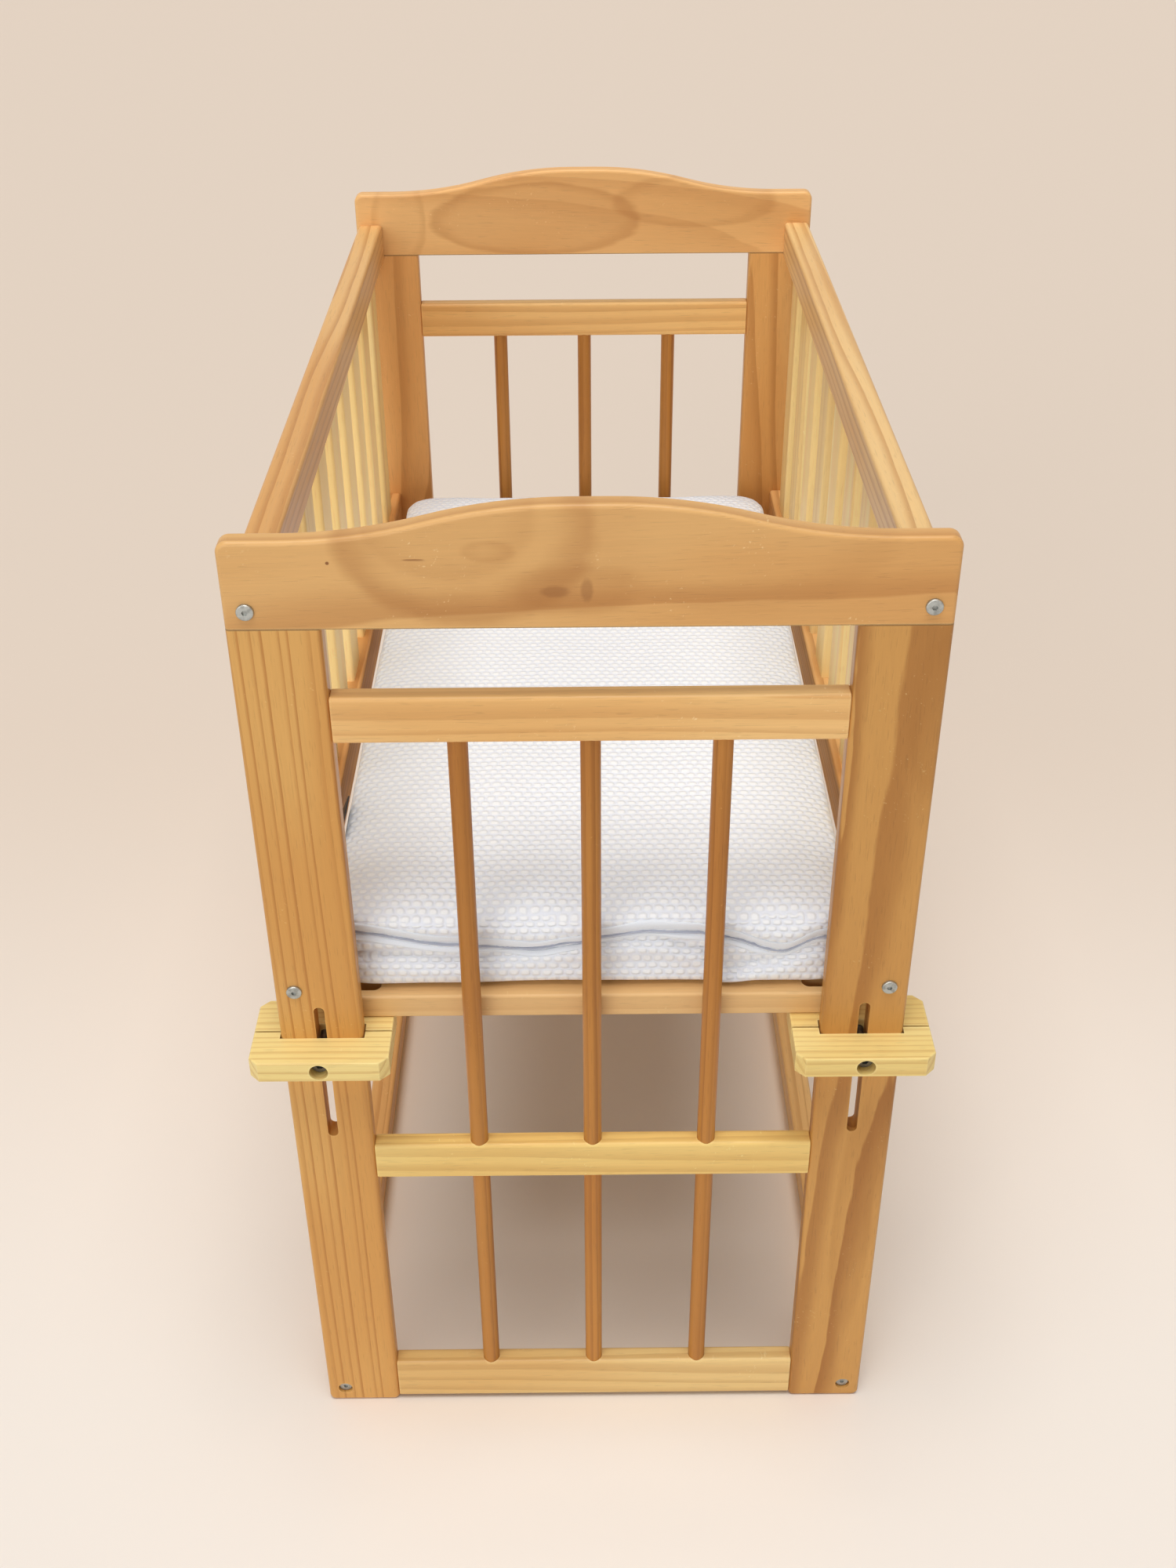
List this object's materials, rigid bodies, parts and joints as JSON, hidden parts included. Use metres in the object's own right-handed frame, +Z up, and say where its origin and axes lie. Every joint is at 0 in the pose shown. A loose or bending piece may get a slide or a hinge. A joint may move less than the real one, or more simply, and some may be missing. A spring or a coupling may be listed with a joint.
{
  "type": "co-sleeping cradle",
  "caption": "Slatted wooden baby cradle with arched headboards and a mattress base that clamps at any height in slotted posts.",
  "frame": {"origin": "on the floor, under the middle of the cradle", "axes": "+Z up, -Y towards the front end that the picture shows, +X to the right seen from the front; the length runs along Y"},
  "size_m": [0.578, 1.009, 0.971],
  "materials": {
    "pine": "satin clear lacquer over honey-coloured pine",
    "pale_wood": "satin clear lacquer over pale pine",
    "steel": "zinc-plated, dull bright",
    "mattress_fabric": "white honeycomb knit over foam"
  },
  "bodies": {
    "frame": {"front_barrel_nuts": "steel", "front_bottom_rail": "pine", "front_frame_bolts": "steel", "front_headboard": "pine", "front_joint_pins": "pale_wood", "front_left_post": "pine", "front_lower_spindles": "pine", "front_middle_rail": "pine", "front_right_post": "pine", "front_upper_rail": "pine", "front_upper_spindles": "pine", "left_bottom_rail": "pine", "left_floor_stretcher": "pine", "left_slats": "pale_wood", "left_top_rail": "pine", "rear_barrel_nuts": "steel", "rear_bottom_rail": "pine", "rear_frame_bolts": "steel", "rear_headboard": "pine", "rear_joint_pins": "pale_wood", "rear_left_post": "pine", "rear_lower_spindles": "pine", "rear_middle_rail": "pine", "rear_right_post": "pine", "rear_upper_rail": "pine", "rear_upper_spindles": "pine", "right_bottom_rail": "pine", "right_floor_stretcher": "pine", "right_slats": "pale_wood", "right_top_rail": "pine"},
    "base": {"base_front_rail": "pine", "base_joint_pins": "pale_wood", "base_left_rail": "pine", "base_rear_rail": "pine", "base_right_rail": "pine", "base_slat_screws": "steel", "base_slats": "pale_wood"},
    "mattress": {"mattress": "mattress_fabric"},
    "front_left_clamp": {"front_left_clamp_bolt": "steel", "front_left_clamp_nut": "steel", "front_left_clamp_washers": "steel", "front_left_inner_clamp": "pale_wood", "front_left_outer_clamp": "pale_wood"},
    "front_right_clamp": {"front_right_clamp_bolt": "steel", "front_right_clamp_nut": "steel", "front_right_clamp_washers": "steel", "front_right_inner_clamp": "pale_wood", "front_right_outer_clamp": "pale_wood"},
    "rear_left_clamp": {"rear_left_clamp_bolt": "steel", "rear_left_clamp_nut": "steel", "rear_left_clamp_washers": "steel", "rear_left_inner_clamp": "pale_wood", "rear_left_outer_clamp": "pale_wood"},
    "rear_right_clamp": {"rear_right_clamp_bolt": "steel", "rear_right_clamp_nut": "steel", "rear_right_clamp_washers": "steel", "rear_right_inner_clamp": "pale_wood", "rear_right_outer_clamp": "pale_wood"}
  },
  "joints": [
    {"name": "base_height", "type": "slide", "parent": "frame", "child": "base", "axis": [0, 0, 1], "range_m": [-0.1, 0.039]},
    {"name": "mattress_lift", "type": "slide", "parent": "base", "child": "mattress", "axis": [0, 0, 1], "range_m": [0, 0.47]},
    {"name": "front_left_clamp_slide", "type": "slide", "parent": "frame", "child": "front_left_clamp", "axis": [0, 0, 1], "range_m": [-0.1, 0.039]},
    {"name": "front_right_clamp_slide", "type": "slide", "parent": "frame", "child": "front_right_clamp", "axis": [0, 0, 1], "range_m": [-0.1, 0.039]},
    {"name": "rear_left_clamp_slide", "type": "slide", "parent": "frame", "child": "rear_left_clamp", "axis": [0, 0, 1], "range_m": [-0.1, 0.039]},
    {"name": "rear_right_clamp_slide", "type": "slide", "parent": "frame", "child": "rear_right_clamp", "axis": [0, 0, 1], "range_m": [-0.1, 0.039]}
  ],
  "couplings": [
    {"joint": "front_left_clamp_slide", "follows": "base_height", "ratio": 1},
    {"joint": "front_right_clamp_slide", "follows": "base_height", "ratio": 1},
    {"joint": "rear_left_clamp_slide", "follows": "base_height", "ratio": 1},
    {"joint": "rear_right_clamp_slide", "follows": "base_height", "ratio": 1}
  ]
}
